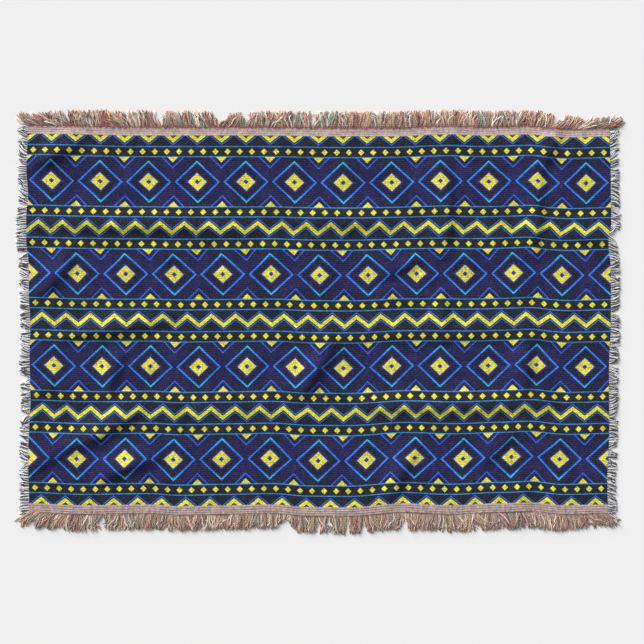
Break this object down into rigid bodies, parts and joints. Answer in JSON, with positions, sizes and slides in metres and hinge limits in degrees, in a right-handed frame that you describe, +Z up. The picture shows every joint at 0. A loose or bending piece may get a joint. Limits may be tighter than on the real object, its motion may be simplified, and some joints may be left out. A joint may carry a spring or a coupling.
{
  "type": "fringed throw blanket",
  "caption": "Woven cotton throw blanket laid out flat, with plain heading strips, long fringe along both long edges and short fringe along both sides.",
  "frame": {"origin": "centre of the throw's outline, fringe included, on the surface it lies on", "axes": "+X along the long side, +Y towards the top heading, +Z up out of the patterned face"},
  "size_m": [1.3812, 0.97, 0.0135],
  "materials": {
    "patterned_cloth": "matt jacquard-woven cotton, ribbed, navy with blue and yellow banded pattern",
    "warp_yarn": "matt cotton warp yarns of mixed tan, brick, salmon, teal-grey and cream, cut to fringe",
    "weft_yarn": "matt cotton weft yarns, black and white in turn, cut to short fringe"
  },
  "bodies": {
    "root": {"panel": "patterned_cloth", "top_heading_fringe": "warp_yarn", "bottom_heading_fringe": "warp_yarn", "left_selvedge_fringe": "weft_yarn", "right_selvedge_fringe": "weft_yarn"}
  },
  "joints": []
}
